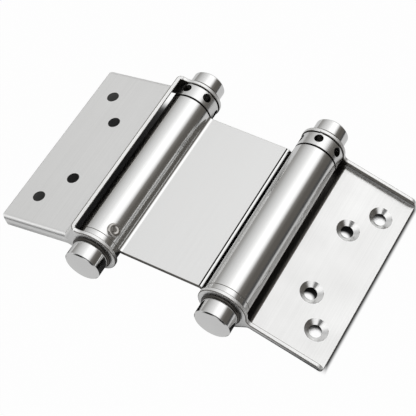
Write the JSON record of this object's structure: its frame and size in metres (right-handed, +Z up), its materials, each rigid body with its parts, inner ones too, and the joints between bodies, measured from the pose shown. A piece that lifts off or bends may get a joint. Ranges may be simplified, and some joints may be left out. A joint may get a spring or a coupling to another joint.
{
  "type": "double action spring hinge",
  "caption": "Double action spring hinge with pressed leaves either side of an S-rolled centre web, spring barrels, tension collars and capped pins, lying open.",
  "frame": {"origin": "middle of the hinge's box, at its lowest level", "axes": "+Y along the barrels towards the tension collars, +X across towards the leaf with its countersinks up, +Z up out of the flat web"},
  "size_m": [0.169, 0.121, 0.0329],
  "materials": {
    "web_steel": "satin stainless sheet, barrels polished",
    "leaf_steel": "satin stainless sheet",
    "tip_steel": "polished stainless",
    "collar_steel": "polished stainless",
    "rivet_steel": "polished stainless, burnished head",
    "spring_steel": "dark oiled spring steel",
    "pin_steel": "ground stainless"
  },
  "bodies": {
    "centre": {"centre_web": "web_steel", "left_bottom_plug": "collar_steel", "left_plug_rivet": "rivet_steel", "left_torsion_spring": "spring_steel", "right_bottom_plug": "collar_steel", "right_plug_rivet": "rivet_steel", "right_torsion_spring": "spring_steel"},
    "left_leaf_group": {"left_leaf": "leaf_steel", "left_hinge_pin": "pin_steel", "left_top_washer": "tip_steel", "left_bottom_washer": "tip_steel", "left_top_tip": "tip_steel", "left_bottom_tip": "tip_steel"},
    "left_collar_group": {"left_tension_collar": "collar_steel"},
    "right_leaf_group": {"right_leaf": "leaf_steel", "right_hinge_pin": "pin_steel", "right_top_washer": "tip_steel", "right_bottom_washer": "tip_steel", "right_top_tip": "tip_steel", "right_bottom_tip": "tip_steel"},
    "right_collar_group": {"right_tension_collar": "collar_steel"}
  },
  "joints": [
    {"name": "left_leaf_hinge", "type": "hinge", "parent": "centre", "child": "left_leaf_group", "pos_m": [-0.03212, 0, 0.02066], "axis": [0, -1, 0], "range_deg": [-102.2, 167.8]},
    {"name": "right_leaf_hinge", "type": "hinge", "parent": "centre", "child": "right_leaf_group", "pos_m": [0.03538, 0, 0.02066], "axis": [0, -1, 0], "range_deg": [-72.6, 197.4]},
    {"name": "left_collar_turn", "type": "hinge", "parent": "centre", "child": "left_collar_group", "pos_m": [-0.03212, 0, 0.02066], "axis": [0, 1, 0], "range_deg": [0, 180], "deforming": ["left_torsion_spring"]},
    {"name": "right_collar_turn", "type": "hinge", "parent": "centre", "child": "right_collar_group", "pos_m": [0.03538, 0, 0.02066], "axis": [0, 1, 0], "range_deg": [0, 180], "deforming": ["right_torsion_spring"]}
  ]
}
